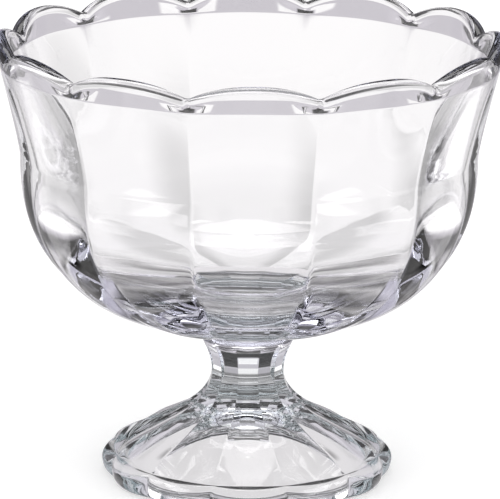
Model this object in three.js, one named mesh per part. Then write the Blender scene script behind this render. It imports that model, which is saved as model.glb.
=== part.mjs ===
// A footed dessert cup of clear pressed glass. Twelve lobes run all the way round and down it: they
// end in a rim of petals at the top, narrow to a short faceted stem, and spread again over a flared,
// hollow foot with a lobed flange. The bowl and the foot are two pressings, fused at the neck.
// Millimetres, +Z up. The cup stands on z = 0 with its axis on Z and a lobe's centre towards -Y.
import * as THREE from "three";

// Lobes round the cup, and faces across one lobe.
const lobeCount = 12;
const lobeSteps = 8;

// Foot, from the ground up.
const footRadius = 30;
const flangeHeight = 5.1;
const flangeBulgeHeight = 2.8;
const flangeTopWidth = 2.5;
const flangeUndercut = 1.5;
const flangeCrease = 1.2;
const contactWidth = 2;
const hollowHeight = 12.5;
const flankRise = 16.7;

// Stem, from its waist to the fused joint at the neck.
const stemRadius = 7.4;
const neckRadius = 8.8;
const neckRise = 5.7;

// Bowl, from the neck up.
const filletRise = 3.6;
const filletRadius = 15;
const bellyRise = 36.4;
const bellyRadius = 46.6;
const bellyCrease = 1.1;
const bottomCrease = 0.3;
const wallRise = 24.7;
const wallFlare = 5.75;

// Inside of the bowl and its rim.
const bellyWall = 3.5;
const floorThickness = 5.6;
const ringDepth = 5.5;
const ringWall = 2.8;
const lipThickness = 3.4;
const petalFall = 3.1;

// Shape numbers without a unit: how square the belly is, how a petal's edge and the hollow are bent,
// and how nearly flat the facets of the stem and the foot are, where 1 is a flat facet.
const bellyPower = 2.45;
const wallPower = 1.15;
const petalPower = 2.2;
const hollowPower = 2.2;
const facetPower = 4;
const facetShare = 0.95;

// Handles of the two bent curves, as shares of the curve's width and height.
const flankLowShares = { across: 0.466, up: 0.347 };
const flankHighShare = 0.476;
const filletShares = { across: 0.33, up: 0.88 };

// Heights and radii that follow.
const waistHeight = flangeHeight + flankRise;
const neckHeight = waistHeight + neckRise;
const bottomHeight = neckHeight + filletRise;
const bellyHeight = bottomHeight + bellyRise;
const cupHeight = bellyHeight + wallRise;
const ringHeight = cupHeight - ringDepth;
const flankRadius = footRadius - flangeTopWidth;
const baseRadius = footRadius - flangeUndercut;
const hollowRadius = baseRadius - contactWidth;
const lipRadius = lipThickness / 2;
const lobeAngle = (2 * Math.PI) / lobeCount;

// A point of an outline: its radius and height on a lobe's centre line, how far the crease between
// two lobes lies inside the surface there (outside it where negative), and its share of the petals'
// fall towards the notches of the rim.
function outlinePoint(radius, height, crease = 0, fallShare = 0) {
  return { radius, height, crease, fallShare };
}

// Points at even steps from 0 to 1. A curve that starts where the one before it ends leaves out step 0.
function steps(count, first, makePoint) {
  return Array.from({ length: count + 1 - first }, (_, i) => makePoint((i + first) / count));
}

// What a facet's corner stands out by, where flat facets would take the place of a round surface.
function facetCrease(radius) {
  return -facetShare * radius * (1 / Math.cos(lobeAngle / 2) - 1);
}

// Outer radius of the bowl's wall at a height between the belly and the rim.
function wallRadius(height) {
  return bellyRadius + wallFlare * ((height - bellyHeight) / wallRise) ** wallPower;
}

// Height of a rounded bottom at a radius, for the outside and the inside of the bowl alike.
function bottomCurve(radius, sideRadius, depth) {
  const share = Math.min(radius / sideRadius, 1);
  return bellyHeight - depth * (1 - share ** bellyPower) ** (1 / bellyPower);
}

// The neck's edge, where the two pressings meet on a flat face.
const neckEdge = outlinePoint(neckRadius, neckHeight, facetCrease(neckRadius));

// Outline of the bowl: over the joint, up the outside, across the lip and down the inside.
function bowlOutline() {
  const filletEnd = new THREE.Vector2(filletRadius, bottomCurve(filletRadius, bellyRadius, bellyRise));
  const start = new THREE.Vector2(neckRadius, neckHeight);
  const bend = new THREE.Vector2(
    THREE.MathUtils.lerp(start.x, filletEnd.x, filletShares.across),
    THREE.MathUtils.lerp(start.y, filletEnd.y, filletShares.up),
  );
  const fillet = new THREE.QuadraticBezierCurve(start, bend, filletEnd);
  const filletPoints = steps(4, 1, (t) => {
    const p = fillet.getPoint(t);
    return outlinePoint(p.x, p.y, THREE.MathUtils.lerp(neckEdge.crease, bottomCrease, t));
  });

  const startAngle = Math.asin(filletRadius / bellyRadius);
  const bottomPoints = steps(8, 1, (t) => {
    const radius = bellyRadius * Math.sin(THREE.MathUtils.lerp(startAngle, Math.PI / 2, t));
    const height = bottomCurve(radius, bellyRadius, bellyRise);
    const climb = (height - bottomHeight) / bellyRise;
    return outlinePoint(radius, height, THREE.MathUtils.lerp(bottomCrease, bellyCrease, climb));
  });

  const lipHeight = cupHeight - lipRadius;
  const wallPoints = steps(4, 1, (t) => {
    const height = THREE.MathUtils.lerp(bellyHeight, lipHeight, t);
    return outlinePoint(wallRadius(height), height, bellyCrease, t ** 2);
  });

  const lipCentre = wallRadius(lipHeight) - lipRadius;
  const lipPoints = steps(4, 1, (t) => {
    const angle = t * Math.PI;
    const radius = lipCentre + lipRadius * Math.cos(angle);
    return outlinePoint(radius, lipHeight + lipRadius * Math.sin(angle), bellyCrease, 1);
  });

  const ring = outlinePoint(wallRadius(ringHeight) - ringWall, ringHeight);
  const innerRadius = bellyRadius - bellyWall;
  const innerDepth = bellyRise - floorThickness;
  const innerWall = steps(2, 1, (t) =>
    outlinePoint(
      THREE.MathUtils.lerp(ring.radius, innerRadius, t),
      THREE.MathUtils.lerp(ringHeight, bellyHeight, t),
    ),
  );
  const innerBottom = steps(8, 1, (t) => {
    const radius = innerRadius * Math.cos((t * Math.PI) / 2);
    return outlinePoint(t < 1 ? radius : 0, bottomCurve(t < 1 ? radius : 0, innerRadius, innerDepth));
  });

  const joint = [outlinePoint(0, neckHeight), neckEdge];
  return [
    ...joint,
    ...filletPoints,
    ...bottomPoints,
    ...wallPoints,
    ...lipPoints,
    ring,
    ...innerWall,
    ...innerBottom,
  ];
}

// Outline of the foot: out along the hollow, round the flange, up the flank and the stem to the joint.
function footOutline() {
  const hollowPoints = steps(8, 0, (t) =>
    outlinePoint(hollowRadius * t, hollowHeight * (1 - t ** hollowPower)),
  );

  const lowerBulge = steps(4, 0, (t) => {
    const angle = (t * Math.PI) / 2;
    const radius = baseRadius + flangeUndercut * Math.sin(angle);
    return outlinePoint(radius, flangeBulgeHeight * (1 - Math.cos(angle)), flangeCrease);
  });
  const upperBulge = steps(4, 1, (t) => {
    const angle = (t * Math.PI) / 2;
    const radius = flankRadius + flangeTopWidth * Math.cos(angle);
    const height = THREE.MathUtils.lerp(flangeBulgeHeight, flangeHeight, Math.sin(angle));
    return outlinePoint(radius, height, flangeCrease * (1 - t ** 2));
  });

  const spread = flankRadius - stemRadius;
  const flank = new THREE.CubicBezierCurve(
    new THREE.Vector2(flankRadius, flangeHeight),
    new THREE.Vector2(
      flankRadius - spread * flankLowShares.across,
      flangeHeight + flankRise * flankLowShares.up,
    ),
    new THREE.Vector2(stemRadius, waistHeight - flankRise * flankHighShare),
    new THREE.Vector2(stemRadius, waistHeight),
  );
  const flankPoints = steps(8, 1, (t) => {
    const p = flank.getPoint(t);
    return outlinePoint(p.x, p.y, facetCrease(p.x) * (1 - (1 - t) ** facetPower));
  });

  const stemPoints = steps(3, 1, (t) => {
    const radius = THREE.MathUtils.lerp(stemRadius, neckRadius, t ** 2);
    return outlinePoint(radius, waistHeight + neckRise * t, facetCrease(radius));
  });

  const joint = [outlinePoint(0, neckHeight)];
  return [...hollowPoints, ...lowerBulge, ...upperBulge, ...flankPoints, ...stemPoints, ...joint];
}

// Unit vector into the glass at a point of an outline: square to the surface on the foot's flank and
// on the bowl's bottom, and level elsewhere, which keeps the joint and the ring underneath flat.
function inward(outline, index) {
  const { height } = outline[index];
  const onFlank = height > flangeHeight && height < waistHeight;
  const onBottom = height > neckHeight && height < bellyHeight;
  if (!onFlank && !onBottom) return new THREE.Vector2(-1, 0);
  const before = outline[Math.max(index - 1, 0)];
  const after = outline[Math.min(index + 1, outline.length - 1)];
  return new THREE.Vector2(before.height - after.height, after.radius - before.radius).normalize();
}

// The closed body that an outline sweeps round the axis, with its lobes, creases and petals.
function lobedGeometry(outline) {
  const profile = outline.map((p) => new THREE.Vector2(p.radius, p.height));
  const geometry = new THREE.LatheGeometry(profile, lobeCount * lobeSteps);
  const position = geometry.getAttribute("position");
  for (let i = 0; i < position.count; i++) {
    const index = i % outline.length;
    const point = outline[index];
    const turn = Math.floor(i / outline.length) / lobeSteps;
    const across = 2 * Math.abs(turn - Math.round(turn));
    const into = inward(outline, index).multiplyScalar(point.crease * across ** 2);
    const radius = point.radius + into.x;
    const height = point.height + into.y - petalFall * point.fallShare * across ** petalPower;
    const angle = turn * lobeAngle;
    position.setXYZ(i, radius * Math.sin(angle), -radius * Math.cos(angle), height);
  }
  geometry.computeVertexNormals();
  return geometry;
}

// Clear glass, the bowl a touch cooler in colour than the foot.
function clearGlass(colour) {
  return new THREE.MeshStandardMaterial({
    color: colour,
    roughness: 0.04,
    metalness: 0,
    transparent: true,
    opacity: 0.4,
  });
}

function namedMesh(name, outline, material) {
  const mesh = new THREE.Mesh(lobedGeometry(outline), material);
  mesh.name = name;
  return mesh;
}

const cup = new THREE.Group();
cup.add(namedMesh("bowl", bowlOutline(), clearGlass(0xe9f0f1)));
cup.add(namedMesh("foot", footOutline(), clearGlass(0xeef0f0)));

export default cup;
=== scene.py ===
# %% [markdown]
# # A footed dessert cup of pressed glass
#
# The cup is one article of clear glass: a bowl of twelve lobes with a rim of petals, on a short
# faceted stem and a flared, hollow foot. There is no paint and no print on it, so everything that
# can be seen is light that the glass bends. The shapes and what stands round them therefore matter
# more than any colour, and most cells below are about them.
#
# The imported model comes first. It is the fixed frame that the visual pieces are built around.

# %% Load the frame
import math

import bmesh
import bpy
from mathutils import Matrix, Vector


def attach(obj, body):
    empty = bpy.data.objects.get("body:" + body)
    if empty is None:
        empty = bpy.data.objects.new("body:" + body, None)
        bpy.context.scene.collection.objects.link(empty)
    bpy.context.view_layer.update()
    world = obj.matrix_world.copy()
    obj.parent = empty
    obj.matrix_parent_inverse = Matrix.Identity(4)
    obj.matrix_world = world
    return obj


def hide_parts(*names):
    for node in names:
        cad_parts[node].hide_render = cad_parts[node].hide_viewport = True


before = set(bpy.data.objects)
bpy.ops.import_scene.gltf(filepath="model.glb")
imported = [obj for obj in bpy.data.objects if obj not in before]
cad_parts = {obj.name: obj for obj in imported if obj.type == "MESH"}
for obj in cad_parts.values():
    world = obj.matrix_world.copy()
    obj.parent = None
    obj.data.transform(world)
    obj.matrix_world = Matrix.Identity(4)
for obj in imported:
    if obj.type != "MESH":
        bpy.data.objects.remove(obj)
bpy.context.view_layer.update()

mm = 0.001

# %% [markdown]
# ## Sizes
#
# Blender works in metres, and glass is thought of in millimetres, so each size is a number of
# millimetres times `mm`. They are the same sizes that the solids have, with one exception: the
# ridges between the foot's facets run a little farther down. The smoothness differs too. Glass shows
# every flat face as a facet, so the visual pieces have far more rows and columns, and their corners
# are rounded a little, as flame polishing leaves them.

# %% Sizes of the cup
lobe_count = 12

foot_radius = 30 * mm
flange_height = 5.1 * mm
flange_bulge_height = 2.8 * mm
flange_top_width = 2.5 * mm
flange_undercut = 1.5 * mm
flange_crease = 1.2 * mm
contact_width = 2 * mm
hollow_height = 12.5 * mm
flank_rise = 16.7 * mm

stem_radius = 7.4 * mm
neck_radius = 8.8 * mm
neck_rise = 5.7 * mm

fillet_rise = 3.6 * mm
fillet_radius = 15 * mm
belly_rise = 36.4 * mm
belly_radius = 46.6 * mm
belly_crease = 1.1 * mm
bottom_crease = 0.3 * mm
wall_rise = 24.7 * mm
wall_flare = 5.75 * mm

belly_wall = 3.5 * mm
floor_thickness = 5.6 * mm
ring_depth = 5.5 * mm
ring_wall = 2.8 * mm
lip_thickness = 3.4 * mm
petal_fall = 3.1 * mm

belly_power = 2.45
wall_power = 1.15
petal_power = 2.2
hollow_power = 2.2
facet_power = 25
facet_share = 0.95
flank_low_shares = (0.466, 0.347)
flank_high_share = 0.476
fillet_shares = (0.33, 0.88)

edge_radius = 0.3 * mm

waist_height = flange_height + flank_rise
neck_height = waist_height + neck_rise
bottom_height = neck_height + fillet_rise
belly_height = bottom_height + belly_rise
cup_height = belly_height + wall_rise
ring_height = cup_height - ring_depth
flank_radius = foot_radius - flange_top_width
base_radius = foot_radius - flange_undercut
hollow_radius = base_radius - contact_width
lip_radius = lip_thickness / 2
lobe_angle = 2 * math.pi / lobe_count
print(f"cup height {cup_height / mm:.1f} mm, neck at {neck_height / mm:.1f} mm")

# %% [markdown]
# ## Outlines
#
# Pressed glass takes its form from a mould and a plunger that go straight up and down, so half a
# cross-section says nearly everything. An outline here is a list of points. Each holds a radius and
# a height on a lobe's centre line, how far the crease between two lobes lies inside the surface, and
# its share of the petals' fall towards the notches of the rim.
#
# A smooth curve is one run of points. Where two runs meet at a corner, such as the edge inside the
# rim where the plunger stopped, the corner gets a small arc. Without it, smooth shading would bend
# the light over the whole width of the faces beside the corner.

# %% Helpers for the outlines
def lerp(a, b, t):
    return a + (b - a) * t


def mix(a, b, t):
    """Point between two points, number by number."""
    return tuple(lerp(u, v, t) for u, v in zip(a, b))


def steps(count, first, make_point):
    return [make_point(i / count) for i in range(first, count + 1)]


def bezier(points, t):
    """Point of a curve with two, three or four handles."""
    while len(points) > 1:
        points = [mix(a, b, t) for a, b in zip(points, points[1:])]
    return points[0]


corner_rows = 5


def round_corner(first, second):
    """Two runs that meet at a corner, which is the first one's last point, as one rounded run."""
    corner = first[-1]

    def gap(point):
        return math.dist(point[:2], corner[:2])

    first = [point for point in first if gap(point) > edge_radius]
    second = [point for point in second if gap(point) > edge_radius]
    start = mix(corner, first[-1], edge_radius / gap(first[-1]))
    end = mix(corner, second[0], edge_radius / gap(second[0]))
    return first + steps(corner_rows, 0, lambda t: bezier([start, corner, end], t)) + second


def facet_crease(radius):
    """A facet's corner stands out, so this crease is below zero."""
    return -facet_share * radius * (1 / math.cos(lobe_angle / 2) - 1)


def wall_radius(height):
    climb = max((height - belly_height) / wall_rise, 0)
    return belly_radius + wall_flare * climb**wall_power


def bottom_curve(radius, side_radius, depth):
    share = min(radius / side_radius, 1)
    return belly_height - depth * (1 - share**belly_power) ** (1 / belly_power)


# %% Outline of the bowl
fillet_rows, bottom_rows, wall_rows, lip_rows = 16, 48, 28, 18
petal_rows, inner_wall_rows, inner_bottom_rows = 10, 20, 48
joint_gap = 0.02 * mm


def bowl_outline():
    """Over the joint, up the outside, across the lip and down the inside."""
    joint_height = neck_height + joint_gap / 2
    neck_crease = facet_crease(neck_radius)
    neck = (neck_radius, joint_height, neck_crease, 0)

    end = (fillet_radius, bottom_curve(fillet_radius, belly_radius, belly_rise))
    bend = (
        lerp(neck_radius, end[0], fillet_shares[0]),
        lerp(joint_height, end[1], fillet_shares[1]),
    )

    def fillet_point(t):
        return (*bezier([neck[:2], bend, end], t), lerp(neck_crease, bottom_crease, t), 0)

    start_angle = math.asin(fillet_radius / belly_radius)

    def bottom_point(t):
        radius = belly_radius * math.sin(lerp(start_angle, math.pi / 2, t))
        height = bottom_curve(radius, belly_radius, belly_rise)
        climb = (height - bottom_height) / belly_rise
        return (radius, height, lerp(bottom_crease, belly_crease, climb), 0)

    lip_height = cup_height - lip_radius

    def wall_point(t):
        height = lerp(belly_height, lip_height, t)
        return (wall_radius(height), height, belly_crease, t**2)

    lip_centre = wall_radius(lip_height) - lip_radius

    def lip_point(t):
        angle = t * math.pi
        radius = lip_centre + lip_radius * math.cos(angle)
        return (radius, lip_height + lip_radius * math.sin(angle), belly_crease, 1)

    ring = (wall_radius(ring_height) - ring_wall, ring_height, 0, 0)
    petal = steps(petal_rows, 1, lambda t: mix(lip_point(1), ring, t))

    inner_radius = belly_radius - belly_wall
    inner_depth = belly_rise - floor_thickness

    def inner_wall_point(t):
        radius = lerp(inner_radius, ring[0], (1 - t) ** wall_power)
        return (radius, lerp(ring_height, belly_height, t), 0, 0)

    def inner_bottom_point(t):
        radius = inner_radius * math.cos(t * math.pi / 2) if t < 1 else 0
        return (radius, bottom_curve(radius, inner_radius, inner_depth), 0, 0)

    outside = [neck] + steps(fillet_rows, 1, fillet_point) + steps(bottom_rows, 1, bottom_point)
    outside += steps(wall_rows, 1, wall_point) + steps(lip_rows, 1, lip_point)
    inside = steps(inner_wall_rows, 1, inner_wall_point)
    inside += steps(inner_bottom_rows, 1, inner_bottom_point)
    return [(0, joint_height, 0, 0)] + outside + round_corner(petal, inside)


bowl_points = bowl_outline()
print("bowl outline:", len(bowl_points), "points")

# %% Outline of the foot
hollow_rows, bulge_rows, flank_rows, stem_rows = 32, 12, 48, 16


def foot_outline():
    """Out along the hollow, round the flange, up the flank and the stem, and over the joint."""
    joint_height = neck_height - joint_gap / 2

    def hollow_point(t):
        return (hollow_radius * t, hollow_height * (1 - t**hollow_power), 0, 0)

    def lower_bulge_point(t):
        angle = t * math.pi / 2
        radius = base_radius + flange_undercut * math.sin(angle)
        return (radius, flange_bulge_height * (1 - math.cos(angle)), flange_crease, 0)

    def upper_bulge_point(t):
        angle = t * math.pi / 2
        radius = flank_radius + flange_top_width * math.cos(angle)
        height = lerp(flange_bulge_height, flange_height, math.sin(angle))
        return (radius, height, flange_crease * (1 - t**2), 0)

    low_handle = (
        lerp(flank_radius, stem_radius, flank_low_shares[0]),
        lerp(flange_height, waist_height, flank_low_shares[1]),
    )
    high_handle = (stem_radius, lerp(waist_height, flange_height, flank_high_share))
    flank = [(flank_radius, flange_height), low_handle, high_handle, (stem_radius, waist_height)]

    def flank_point(t):
        radius, height = bezier(flank, t)
        return (radius, height, facet_crease(radius) * (1 - (1 - t) ** facet_power), 0)

    def stem_point(t):
        radius = lerp(stem_radius, neck_radius, t**2)
        return (radius, lerp(waist_height, joint_height, t), facet_crease(radius), 0)

    flange = steps(bulge_rows, 0, lower_bulge_point) + steps(bulge_rows, 1, upper_bulge_point)
    upper = steps(flank_rows, 1, flank_point) + steps(stem_rows, 1, stem_point)
    under = round_corner(steps(hollow_rows, 0, hollow_point), flange)
    return round_corner(under, upper) + [(0, joint_height, 0, 0)]


foot_points = foot_outline()
print("foot outline:", len(foot_points), "points")

# %% [markdown]
# ## From an outline to one lobe
#
# All twelve lobes are the same, so one thirty-degree wedge is enough to model. The crease between
# two lobes is a valley on the bowl and a ridge on the foot. Flame polishing rounds it, so the last
# few columns of the wedge follow a small arc in place of a sharp corner.
#
# A crease is sunk square to the surface, or else a bowl's bottom would lose its valleys where it
# runs level. Near the joint it is sunk sideways instead, so that the joint stays flat.

# %% One lobe of an outline
crease_round_share = 0.06
flat_columns = 9
round_columns = 6
blend_height = 2 * mm


def rounded_power(x, power):
    """x to a power, with the corner that it would make at x = 1 rounded off."""
    start = 1 - crease_round_share
    if x <= start:
        return x**power
    past = x - start
    slope = power * start ** (power - 1)
    return start**power + slope * (past - past**2 / (2 * crease_round_share))


def half_columns():
    start = 1 - crease_round_share
    flat = [start * i / flat_columns for i in range(flat_columns)]
    return flat + [lerp(start, 1, i / round_columns) for i in range(round_columns + 1)]


def into_glass(outline, i, square_span):
    """Unit vector into the glass: level outside the span, and square to the surface within it."""
    low, high = square_span
    height = outline[i][1]
    if not low < height < high:
        return Vector((-1, 0))
    before, after = outline[i - 1], outline[i + 1]
    square = Vector((before[1] - after[1], after[0] - before[0])).normalized()
    share = min((height - low) / blend_height, 1)
    return Vector((-1, 0)).lerp(square, share).normalized()


def lobe_mesh(name, outline, square_span):
    """One lobe as a mesh: a row of columns for each outline point, and one vertex at each pole."""
    half = half_columns()
    across = [-x for x in reversed(half[1:])] + half
    vertices, rows = [], []
    for i, (radius, height, crease, fall_share) in enumerate(outline):
        if radius == 0:
            rows.append([len(vertices)] * len(across))
            vertices.append((0, 0, height))
            continue
        into = into_glass(outline, i, square_span)
        row = []
        for x in across:
            depth = crease * rounded_power(abs(x), 2)
            fall = petal_fall * fall_share * rounded_power(abs(x), petal_power)
            r = radius + into.x * depth
            angle = x * lobe_angle / 2
            row.append(len(vertices))
            vertices.append((r * math.sin(angle), -r * math.cos(angle), height + into.y * depth - fall))
        rows.append(row)
    faces = []
    for low, high in zip(rows, rows[1:]):
        for j in range(len(across) - 1):
            corners = [low[j], low[j + 1], high[j + 1], high[j]]
            faces.append(list(dict.fromkeys(corners)))
    mesh = bpy.data.meshes.new(name)
    mesh.from_pydata(vertices, [], faces)
    mesh.shade_smooth()
    return mesh


bowl_lobe = lobe_mesh("bowl_lobe", bowl_points, (neck_height, belly_height))
foot_lobe = lobe_mesh("foot_lobe", foot_points, (flange_height, waist_height))
print("one lobe:", len(bowl_lobe.polygons), "faces on the bowl,", len(foot_lobe.polygons), "on the foot")

# %% [markdown]
# ## Small helpers for node trees
#
# Both the Geometry Nodes and the materials below are built in code. These helpers keep that short:
# a node is made with its settings, and each of its inputs is given either a plain value or the
# output of another node that feeds it.

# %% Helpers for nodes
def add_node(tree, kind, inputs=None, **settings):
    made = tree.nodes.new(kind)
    for key, value in settings.items():
        setattr(made, key, value)
    for key, value in (inputs or {}).items():
        if isinstance(value, bpy.types.NodeSocket):
            tree.links.new(value, made.inputs[key])
        else:
            made.inputs[key].default_value = value
    return made


def maths(tree, operation, *values):
    return add_node(tree, "ShaderNodeMath", dict(enumerate(values)), operation=operation).outputs[0]


def smooth_step(tree, value, low, high, start=0, end=1):
    """A smooth change from start, where the value is low, to end, where it is high."""
    ends = {"From Min": low, "From Max": high, "To Min": start, "To Max": end}
    made = add_node(
        tree, "ShaderNodeMapRange", {"Value": value, **ends}, interpolation_type="SMOOTHSTEP"
    )
    return made.outputs["Result"]


def add_sockets(tree, inputs, outputs):
    """Named sockets of a group, each given as a name and a kind."""
    for way, sockets in (("INPUT", inputs), ("OUTPUT", outputs)):
        for name, kind in sockets.items():
            tree.interface.new_socket(name, in_out=way, socket_type="NodeSocket" + kind)


# %% [markdown]
# ## Twelve lobes round the axis
#
# Copying the wedge in Python would work, but the copies are a rule, and Geometry Nodes is where
# Blender keeps rules: twelve points, one wedge on each, each turned by its own index. Merge by
# Distance then welds the seams and the poles, so that the glass is one closed skin.
#
# Pressed glass is never quite true. It cools from the mould inwards and its skin pulls into long,
# shallow waves, which bend whatever is seen through it. Last in the tree, a noise sinks the skin by
# a few hundredths of a millimetre, but not on the joint and not on the ring that the cup stands on.

# %% Node tree for the lobes
wave_detail = 1


def lobes_tree():
    tree = bpy.data.node_groups.new("lobes_round_the_axis", "GeometryNodeTree")
    names = ["Weld Distance", "Wave Size", "Wave Depth", "Joint Height", "Calm Height"]
    sizes = dict.fromkeys(names, "Float")
    add_sockets(
        tree,
        {"Geometry": "Geometry", "Lobe Count": "Int", **sizes, "Glass": "Material"},
        {"Geometry": "Geometry"},
    )
    given = add_node(tree, "NodeGroupInput").outputs

    step = maths(tree, "DIVIDE", 2 * math.pi, given["Lobe Count"])
    turn = maths(tree, "MULTIPLY", add_node(tree, "GeometryNodeInputIndex").outputs["Index"], step)
    euler = add_node(tree, "ShaderNodeCombineXYZ", {"Z": turn}).outputs[0]
    rotation = add_node(tree, "FunctionNodeEulerToRotation", {"Euler": euler}).outputs[0]
    points = add_node(tree, "GeometryNodePoints", {"Count": given["Lobe Count"]}).outputs[0]
    copies = add_node(
        tree,
        "GeometryNodeInstanceOnPoints",
        {"Points": points, "Instance": given["Geometry"], "Rotation": rotation},
    ).outputs[0]
    lobes = add_node(tree, "GeometryNodeRealizeInstances", {"Geometry": copies}).outputs[0]
    welded = add_node(
        tree, "GeometryNodeMergeByDistance", {"Geometry": lobes, "Distance": given["Weld Distance"]}
    ).outputs[0]

    position = add_node(tree, "GeometryNodeInputPosition").outputs[0]
    height = add_node(tree, "ShaderNodeSeparateXYZ", {0: position}).outputs["Z"]
    from_joint = maths(tree, "ABSOLUTE", maths(tree, "SUBTRACT", height, given["Joint Height"]))
    calm = given["Calm Height"]
    off_table = smooth_step(tree, height, 0, calm)
    free = maths(tree, "MULTIPLY", off_table, smooth_step(tree, from_joint, 0, calm))
    wave_scale = maths(tree, "DIVIDE", 1, given["Wave Size"])
    wave = add_node(
        tree,
        "ShaderNodeTexNoise",
        {"Vector": position, "Scale": wave_scale, "Detail": wave_detail},
    ).outputs["Fac"]
    depth = maths(tree, "MULTIPLY", maths(tree, "MULTIPLY", wave, free), given["Wave Depth"])
    normal = add_node(tree, "GeometryNodeInputNormal").outputs[0]
    inwards = maths(tree, "MULTIPLY", depth, -1)
    sink = add_node(
        tree, "ShaderNodeVectorMath", {0: normal, "Scale": inwards}, operation="SCALE"
    ).outputs[0]
    waved = add_node(tree, "GeometryNodeSetPosition", {"Geometry": welded, "Offset": sink}).outputs[0]

    glazed = add_node(
        tree, "GeometryNodeSetMaterial", {"Geometry": waved, "Material": given["Glass"]}
    ).outputs[0]
    add_node(tree, "NodeGroupOutput", {"Geometry": glazed})
    return tree


def socket_name(tree, label):
    """The identifier that a modifier knows one of the tree's inputs by."""
    for item in tree.interface.items_tree:
        if item.item_type == "SOCKET" and item.in_out == "INPUT" and item.name == label:
            return item.identifier


lobes = lobes_tree()
print("lobes tree:", len(lobes.nodes), "nodes")

# %% Closed piece from one lobe
weld_distance = 0.002 * mm
wave_size = 14 * mm
wave_depth = 0.05 * mm
calm_height = 1.5 * mm


def pressed_piece(name, lobe, glass):
    wedge = bpy.data.objects.new(lobe.name, lobe)
    bpy.context.scene.collection.objects.link(wedge)
    modifier = wedge.modifiers.new("lobes", "NODES")
    modifier.node_group = lobes
    given = {
        "Lobe Count": lobe_count,
        "Weld Distance": weld_distance,
        "Wave Size": wave_size,
        "Wave Depth": wave_depth,
        "Joint Height": neck_height,
        "Calm Height": calm_height,
        "Glass": glass,
    }
    for label, value in given.items():
        modifier[socket_name(lobes, label)] = value
    graph = bpy.context.evaluated_depsgraph_get()
    mesh = bpy.data.meshes.new_from_object(wedge.evaluated_get(graph))
    bpy.data.objects.remove(wedge)
    mesh.name = name
    piece = bpy.data.objects.new(name, mesh)
    bpy.context.scene.collection.objects.link(piece)
    return piece


def sharpen_joint(piece):
    """The edge round the flat joint face is marked sharp, so that the stem is shaded on its own."""
    solid = bmesh.new()
    solid.from_mesh(piece.data)
    sharp = 0
    for edge in solid.edges:
        flat = [all(abs(v.co.z - neck_height) < joint_gap for v in f.verts) for f in edge.link_faces]
        if any(flat) and not all(flat):
            edge.smooth = False
            sharp += 1
    open_edges = sum(not edge.is_manifold for edge in solid.edges)
    triangles = sum(len(face.verts) - 2 for face in solid.faces)
    volume = solid.calc_volume(signed=True) / mm**3
    solid.to_mesh(piece.data)
    solid.free()
    print(f"{piece.name}: {triangles} triangles, {open_edges} open edges, {sharp} sharp")
    print(f"{piece.name}: {volume:.0f} cubic millimetres")


# %% [markdown]
# ## Clear glass
#
# Soda-lime glass bends light by 1.52. It takes off a little of every colour on the way, and red a
# little more, so that thick edges look cool and grey-green. That is depth, not paint, and a plain
# absorbing volume gives it.
#
# Two shader groups are shared. `pressed_skin` gives the fine unevenness that the mould leaves on the
# skin, and the scuffed ring that the cup stands on. `fused_joint` clears the flat faces where
# the bowl and the foot meet: on the real cup the glass goes straight on there, and two mirrors
# would be seen otherwise.

# %% Shader groups
grain_detail = 2


def pressed_skin_group():
    tree = bpy.data.node_groups.new("pressed_skin", "ShaderNodeTree")
    add_sockets(
        tree,
        {"Grain Size": "Float", "Polish": "Float", "Scuff": "Float", "Scuff Height": "Float"},
        {"Height": "Float", "Roughness": "Float"},
    )
    given = add_node(tree, "NodeGroupInput").outputs
    place = add_node(tree, "ShaderNodeTexCoord").outputs["Object"]
    scale = maths(tree, "DIVIDE", 1, given["Grain Size"])
    grain = add_node(
        tree, "ShaderNodeTexNoise", {"Vector": place, "Scale": scale, "Detail": grain_detail}
    ).outputs["Fac"]
    height = add_node(tree, "ShaderNodeSeparateXYZ", {0: place}).outputs["Z"]
    low = smooth_step(tree, height, 0, given["Scuff Height"], start=1, end=0)
    scuffed = maths(tree, "MULTIPLY", maths(tree, "MULTIPLY", low, grain), given["Scuff"])
    roughness = maths(tree, "ADD", scuffed, given["Polish"])
    add_node(tree, "NodeGroupOutput", {"Height": grain, "Roughness": roughness})
    return tree


def fused_joint_group():
    tree = bpy.data.node_groups.new("fused_joint", "ShaderNodeTree")
    add_sockets(tree, {"Joint Height": "Float", "Joint Gap": "Float"}, {"Alpha": "Float"})
    given = add_node(tree, "NodeGroupInput").outputs
    place = add_node(tree, "ShaderNodeTexCoord").outputs["Object"]
    height = add_node(tree, "ShaderNodeSeparateXYZ", {0: place}).outputs["Z"]
    away = maths(tree, "ABSOLUTE", maths(tree, "SUBTRACT", height, given["Joint Height"]))
    add_node(tree, "NodeGroupOutput", {"Alpha": maths(tree, "GREATER_THAN", away, given["Joint Gap"])})
    return tree


pressed_skin = pressed_skin_group()
fused_joint = fused_joint_group()
print("shader groups:", pressed_skin.name, fused_joint.name)

# %% Glass materials
glass_ior = 1.52
glass_density = 5
bowl_tint = (0.40, 0.43, 0.68, 1)
foot_tint = (0.10, 0.46, 0.60, 1)
grain_size = 3 * mm
grain_depth = 0.0015 * mm
polish = 0
scuff = 0.12
scuff_height = 0.3 * mm


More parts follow.
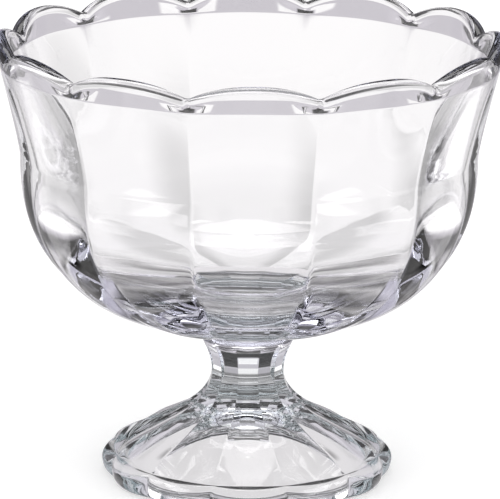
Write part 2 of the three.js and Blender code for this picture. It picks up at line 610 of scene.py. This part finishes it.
def clear_glass(name, tint):
    material = bpy.data.materials.new(name)
    material.use_nodes = True
    tree = material.node_tree
    skin = add_node(
        tree,
        "ShaderNodeGroup",
        {"Grain Size": grain_size, "Polish": polish, "Scuff": scuff, "Scuff Height": scuff_height},
        node_tree=pressed_skin,
    ).outputs
    joint = add_node(
        tree,
        "ShaderNodeGroup",
        {"Joint Height": neck_height, "Joint Gap": joint_gap},
        node_tree=fused_joint,
    ).outputs
    bump = add_node(tree, "ShaderNodeBump", {"Height": skin["Height"], "Distance": grain_depth})
    shader = tree.nodes["Principled BSDF"]
    shader.inputs["Base Color"].default_value = (1, 1, 1, 1)
    shader.inputs["IOR"].default_value = glass_ior
    shader.inputs["Transmission Weight"].default_value = 1
    tree.links.new(skin["Roughness"], shader.inputs["Roughness"])
    tree.links.new(joint["Alpha"], shader.inputs["Alpha"])
    tree.links.new(bump.outputs["Normal"], shader.inputs["Normal"])
    depth = add_node(tree, "ShaderNodeVolumeAbsorption", {"Color": tint, "Density": glass_density})
    tree.links.new(depth.outputs["Volume"], tree.nodes["Material Output"].inputs["Volume"])
    return material


# %% The two pressings
bowl = pressed_piece("pressed_bowl", bowl_lobe, clear_glass("bowl_glass", bowl_tint))
foot = pressed_piece("pressed_foot", foot_lobe, clear_glass("foot_glass", foot_tint))
for piece, node in ((bowl, "bowl"), (foot, "foot")):
    sharpen_joint(piece)
    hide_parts(node)
    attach(piece, "root")

# %% [markdown]
# ## Camera
#
# The photograph looks down on the cup from a long way off, a little from the left of a lobe's centre.

# %% Camera
camera_turn = math.radians(0.937)
camera_lift = math.radians(14.969)
camera_roll = math.radians(-0.466)
camera_distance = 798.3 * mm
aim_height = 46.99 * mm
side_shift = 0.31 * mm
lens = 281.2
sensor = 36


def add_camera():
    data = bpy.data.cameras.new("camera")
    data.lens = lens
    data.sensor_width = sensor
    camera = bpy.data.objects.new("camera", data)
    bpy.context.scene.collection.objects.link(camera)
    forward = Vector((0, math.cos(camera_lift), -math.sin(camera_lift)))
    level_up = Vector((0, math.sin(camera_lift), math.cos(camera_lift)))
    level_right = Vector((1, 0, 0))
    up = level_up * math.cos(camera_roll) + level_right * math.sin(camera_roll)
    right = level_right * math.cos(camera_roll) - level_up * math.sin(camera_roll)
    place = Matrix((right, up, -forward)).transposed().to_4x4()
    place.translation = Vector((side_shift, 0, aim_height)) - forward * camera_distance
    camera.matrix_world = Matrix.Rotation(-camera_turn, 4, "Z") @ place
    bpy.context.scene.camera = camera
    return camera


camera = add_camera()
print("camera at", [round(c / mm) for c in camera.matrix_world.translation], "mm")

# %% [markdown]
# ## The white table
#
# The table is a sheet of white paper. The camera sees it lit as usual, with the cup's soft shadow,
# and a little extra white brings it up to the white of the photograph.
#
# Light that reaches the camera through the glass goes through most of the table here, to the
# surroundings of the next step, which are drawn by direction and hold the paper as the glass shows
# it. Only the shade under the cup belongs to a place, so it stays on the table, as three rings of
# tones. Shallow rays look in through the flank of the foot, and find the paper in its hollow.
# Slanted rays come through the bowl's thick bottom, and steep ones through the stem too. Rays from
# straight overhead get one plain light tone. Layer Weight, which is 0 straight down and 1 along the
# table, tells the four apart. Behind the cup the paper stays white, as the light falls in through
# the bowl's back wall there.
#
# The tones are not measured from a real table. They were set until the glass looked right
# from the camera, so from high angles the rings show as darker bands than a white table would give.

# %% Helpers for colours
mix_first, mix_second, mixed = 6, 7, 2


def grey(level):
    return (level, level, level, 1)


def tinted(level, tint):
    return (*(level * c for c in tint), 1)


def colour_ramp(tree, factor, stops):
    """Colours along 0 to 1, each stop given as a position and a colour."""
    made = add_node(tree, "ShaderNodeValToRGB", {"Fac": factor})
    elements = made.color_ramp.elements
    elements.remove(elements[1])
    for i, (position, colour) in enumerate(stops):
        element = elements[0] if i == 0 else elements.new(position)
        element.position = position
        element.color = colour
    return made.outputs["Color"]


def mix_colours(tree, factor, first, second, **settings):
    """Colours go in by number, because the node keeps a set of sockets for each kind of value."""
    inputs = {0: factor, mix_first: first, mix_second: second}
    made = add_node(tree, "ShaderNodeMix", inputs, data_type="RGBA", **settings)
    return made.outputs[mixed]


def mix_shaders(tree, factor, first, second):
    return add_node(tree, "ShaderNodeMixShader", {0: factor, 1: first, 2: second}).outputs[0]


def between(tree, value, begin, full, full_until, end):
    """1 from full to full_until, 0 outside begin and end, and smooth in between."""
    rise = smooth_step(tree, value, begin, full)
    return maths(tree, "MULTIPLY", rise, smooth_step(tree, value, full_until, end, start=1, end=0))


# %% Floor
floor_radius = 700 * mm
paper_albedo = 0.9
paper_lift = 0.3
shade_radius = 90 * mm
shallow_stops = [
    (0, 0.75), (16, 0.75), (29, 0.75), (32, 0.5), (36, 0.12), (60, 0.15), (75, 0.7), (90, 0.94),
]
slanted_stops = [
    (0, 0.8), (5, 0.5), (10, 0.2), (14, 0.04), (30, 0.04), (34, 0.3), (38, 0.5),
    (45, 0.3), (49, 0.12), (54, 0.6), (60, 0.9), (90, 0.9),
]
steep_stops = [
    (0, 0.4), (7, 0.4), (11, 0.35), (13, 0.55), (17, 0.55), (20, 0.25), (24, 0.04), (31, 0.04),
    (35, 0.15), (39, 0.5), (43, 0.1), (48, 0.15), (53, 0.5), (58, 0.4), (64, 0.7), (90, 0.9),
]
slanted_span = (0.44, 0.52)
steep_span = (0.18, 0.26)
overhead_span = (0.006, 0.02)
overhead_level = 0.7
shade_edge = (74 * mm, 90 * mm)
ring_edge = (0, 2 * mm, 50 * mm, 66 * mm)
ring_strength = 0.9
back_width = (14 * mm, 22 * mm)
back_start = (28 * mm, 36 * mm)
back_level = 0.93
paper_tint = (1.012, 0.985, 1.003)
# Streaks of painted light and shade in the tones under the cup:
shade_streak_size = 7 * mm
shade_streak_depth = 0.2
shade_streak_span = (0.3, 0.7)
shade_streak_detail = 1
even_blend = 0.5
floor_segments = 96


def tone_ring(tree, radius, stops):
    """Tones by distance from the axis, each stop given as millimetres and a level."""
    share = maths(tree, "DIVIDE", radius, shade_radius)
    tones = [(at * mm / shade_radius, tinted(level, paper_tint)) for at, level in stops]
    return colour_ramp(tree, share, tones)


def table_behind_glass(tree, place):
    """The table as rays from the glass see it: shade under the cup, and otherwise nothing."""
    radius = add_node(tree, "ShaderNodeVectorMath", {0: place}, operation="LENGTH").outputs["Value"]
    facing = add_node(tree, "ShaderNodeLayerWeight", {"Blend": even_blend}).outputs["Facing"]
    slanted = smooth_step(tree, facing, *slanted_span, start=1, end=0)
    steep = smooth_step(tree, facing, *steep_span, start=1, end=0)
    shallow_tone, slanted_tone, steep_tone = (
        tone_ring(tree, radius, stops) for stops in (shallow_stops, slanted_stops, steep_stops)
    )
    tone = mix_colours(tree, slanted, shallow_tone, slanted_tone)
    tone = mix_colours(tree, steep, tone, steep_tone)
    overhead = smooth_step(tree, facing, *overhead_span, start=1, end=0)
    tone = mix_colours(tree, overhead, tone, tinted(overhead_level, paper_tint))

    axes = add_node(tree, "ShaderNodeSeparateXYZ", {0: place}).outputs
    aside = maths(tree, "ABSOLUTE", axes["X"])
    near_middle = smooth_step(tree, aside, *back_width, start=1, end=0)
    behind = maths(tree, "MULTIPLY", near_middle, smooth_step(tree, axes["Y"], *back_start))
    behind = maths(tree, "MULTIPLY", behind, maths(tree, "SUBTRACT", slanted, steep))
    tone = mix_colours(tree, behind, tone, tinted(back_level, paper_tint))

    # Streaks of painted light and shade: a noise makes the painted shade tones brighter and darker for
    # slanted rays.
    shade_streaks = {"Vector": place, "Scale": 1 / shade_streak_size, "Detail": shade_streak_detail}
    noise = add_node(tree, "ShaderNodeTexNoise", shade_streaks).outputs["Fac"]
    wave = smooth_step(tree, noise, *shade_streak_span, -shade_streak_depth, shade_streak_depth)
    strength = maths(tree, "MULTIPLY_ADD", wave, maths(tree, "SUBTRACT", slanted, behind), 1)
    shade = add_node(tree, "ShaderNodeEmission", {"Color": tone, "Strength": strength}).outputs[0]
    near = smooth_step(tree, radius, *shade_edge, start=1, end=0)
    bowl_shade = maths(tree, "MULTIPLY", slanted, near)
    ring_shade = maths(tree, "MULTIPLY", between(tree, radius, *ring_edge), ring_strength)
    clear = add_node(tree, "ShaderNodeBsdfTransparent").outputs[0]
    return mix_shaders(tree, maths(tree, "MAXIMUM", bowl_shade, ring_shade), clear, shade)


def paper_material():
    material = bpy.data.materials.new("white_paper")
    material.use_nodes = True
    tree = material.node_tree
    place = add_node(tree, "ShaderNodeTexCoord").outputs["Object"]
    path = add_node(tree, "ShaderNodeLightPath").outputs
    shader = tree.nodes["Principled BSDF"]
    shader.inputs["Base Color"].default_value = grey(paper_albedo)
    shader.inputs["Roughness"].default_value = 1
    shader.inputs["Emission Color"].default_value = grey(1)
    lift = maths(tree, "MULTIPLY", path["Is Camera Ray"], paper_lift)
    tree.links.new(lift, shader.inputs["Emission Strength"])
    through = maths(tree, "MAXIMUM", path["Is Transmission Ray"], path["Is Glossy Ray"])
    both = mix_shaders(tree, through, shader.outputs[0], table_behind_glass(tree, place))
    tree.links.new(both, tree.nodes["Material Output"].inputs["Surface"])
    return material


def add_floor():
    mesh = bpy.data.meshes.new("floor")
    disc = bmesh.new()
    bmesh.ops.create_circle(disc, cap_ends=True, segments=floor_segments, radius=floor_radius)
    disc.to_mesh(mesh)
    disc.free()
    floor = bpy.data.objects.new("floor", mesh)
    bpy.context.scene.collection.objects.link(floor)
    mesh.materials.append(paper_material())
    return floor


floor = add_floor()
print("floor:", round(2 * floor_radius / mm), "mm across")

# %% [markdown]
# ## The surroundings
#
# Clear glass shows nothing but its surroundings, so they are half of its look. A photographer puts
# white paper behind a glass, white cards at its sides, and leaves dark gaps between them: the paper
# fills the glass with light, and the gaps draw its edges.
#
# The room is made the same way, from cards that are laid over a plain wall one after the other. A
# card is a range of directions. `around` counts degrees from straight behind the cup, to both
# sides alike unless the card is one-sided, and `up` counts degrees above the horizon. Each holds
# where the card begins, where it is full, where it is full until, and where it ends. The two shades
# on the paper are one-sided. They make each lobe darken towards one of its creases, which is what
# tells one lobe from the next. Only glass and gloss see the cards. The camera and plain surfaces
# get a plain white room.
#
# A limit past the middle, the front, the bottom or the top gives a card no soft edge on that side.
# Most of the cards were set for the camera's view alone. `paper_around`, `pale_wall` and the
# three pairs of gaps between them are there for the other sides, where the bright side cards would
# otherwise stand straight behind the bowl and wash it out.

# %% Room and cards
half_turn = 180
wall_tint = (1, 0.955, 1.03)
card_tint = (1.006, 0.99, 0.995)
wall_stops = [
    (-90, 0.5), (-11.5, 0.5), (-9.8, 0.58), (-5, 0.58), (0, 0.64), (8, 0.6), (14, 0.75),
    (30, 0.7), (45, 0.45), (70, 0.33),
]
past_middle, past_front = (-2, -1), (181, 182)
past_bottom, past_top = (-92, -91), (91, 92)
cards = {
    "paper_behind": {"around": (*past_middle, 11, 16), "up": (*past_bottom, -11.5, -9.8), "level": 0.98},
    "left_shade": {
        "around": (-16, -11, -6, -2), "up": (-36, -24, -17, -12), "level": 0.7, "one_side": True,
    },
    "right_shade": {
        "around": (5, 9, 13, 16), "up": (-36, -24, -22, -17), "level": 0.7, "one_side": True,
    },
    "dark_gaps": {"around": (18, 22, 33, 40), "up": (-29, -24, -11.5, -9.8), "level": 0.46},
    "side_cards": {"around": (36, 42, 56, 60), "up": (*past_bottom, -11.5, -9.8), "level": 1.4},
    "paper_around": {"around": (56, 60, *past_front), "up": (*past_bottom, -11.5, -9.8), "level": 1},
    "side_gap": {"around": (61, 65, 71, 75), "up": (-29, -24, -11.5, -9.8), "level": 0.46},
    "rear_gap": {"around": (106, 110, 116, 120), "up": (-29, -24, -11.5, -9.8), "level": 0.46},
    "far_gap": {"around": (151, 155, 161, 165), "up": (-29, -24, -11.5, -9.8), "level": 0.46},
    "pale_wall": {"around": (56, 60, *past_front), "up": (-11.5, -9.8, 8, 14), "level": 0.8},
    "bowl_shade": {"around": (*past_middle, 60, 70), "up": (-56, -50, -38, -35), "level": 0.03},
    "near_shade": {"around": (4, 8, 32, 37), "up": (-40, -38, -31, -29), "level": 0.03},
    "paper_below": {"around": (*past_middle, *past_front), "up": (*past_bottom, -62, -56), "level": 0.9},
    "front_light": {"around": (100, 110, *past_front), "up": (8, 12, 36, 40), "level": 1.1},
    "dark_front": {"around": (92, 104, *past_front), "up": (42, 48, *past_top), "level": 0.1},
    "ceiling": {"around": (*past_middle, 30, 38), "up": (48, 54, 84, 88), "level": 3.2},
    "side_ceiling": {"around": (64, 70, 92, 96), "up": (34, 38, 54, 58), "level": 4},
    "ridge_lamps": {"around": (38, 41, 48, 51), "up": (64, 67, 76, 80), "level": 5},
    "dark_band": {"around": (*past_middle, 12, 15), "up": (6, 9, 36, 42), "level": 0.05},
    "dark_posts": {"around": (11, 14, 26, 31), "up": (-9.8, -8, 17, 21), "level": 0.05},
    "stem_light": {"around": (*past_middle, 2, 3), "up": (-4.5, -3.5, 4, 7), "level": 1},
    "dark_beams": {"around": (28, 34, 46, 50), "up": (54, 58, 68, 72), "level": 0.05},
    "windows": {"around": (64, 68, 88, 92), "up": (-4, 0, 44, 50), "level": 0.8},
}


def room_colour(tree):
    direction = add_node(tree, "ShaderNodeTexCoord").outputs["Generated"]
    axes = add_node(tree, "ShaderNodeSeparateXYZ", {0: direction}).outputs
    turned = maths(tree, "DEGREES", maths(tree, "ARCTAN2", axes["X"], axes["Y"]))
    around = maths(tree, "ABSOLUTE", turned)
    up = maths(tree, "DEGREES", maths(tree, "ARCSINE", axes["Z"]))
    share = maths(tree, "MULTIPLY_ADD", up, 1 / half_turn, 0.5)
    stops = [(angle / half_turn + 0.5, tinted(level, wall_tint)) for angle, level in wall_stops]
    colour = colour_ramp(tree, share, stops)
    for name, card in cards.items():
        across = between(tree, turned if card.get("one_side") else around, *card["around"])
        mask = maths(tree, "MULTIPLY", across, between(tree, up, *card["up"]))
        colour = mix_colours(tree, mask, colour, tinted(card["level"], card_tint), label=name)
    return colour


def studio_world():
    world = bpy.data.worlds.new("studio")
    world.use_nodes = True
    tree = world.node_tree
    room = add_node(tree, "ShaderNodeBackground", {"Color": room_colour(tree)}).outputs[0]
    white = tree.nodes["Background"]
    white.inputs["Color"].default_value = grey(1)
    path = add_node(tree, "ShaderNodeLightPath").outputs
    through = maths(tree, "MAXIMUM", path["Is Transmission Ray"], path["Is Glossy Ray"])
    both = mix_shaders(tree, through, white.outputs[0], room)
    tree.links.new(both, tree.nodes["World Output"].inputs["Surface"])
    return world


glass_bounces = 32
mirror_bounces = 16
scene = bpy.context.scene
scene.world = studio_world()
scene.view_settings.view_transform = "Standard"
scene.cycles.max_bounces = glass_bounces
scene.cycles.transmission_bounces = glass_bounces
scene.cycles.glossy_bounces = mirror_bounces
scene.cycles.transparent_max_bounces = mirror_bounces
print("world:", len(scene.world.node_tree.nodes), "nodes,", len(cards), "cards")
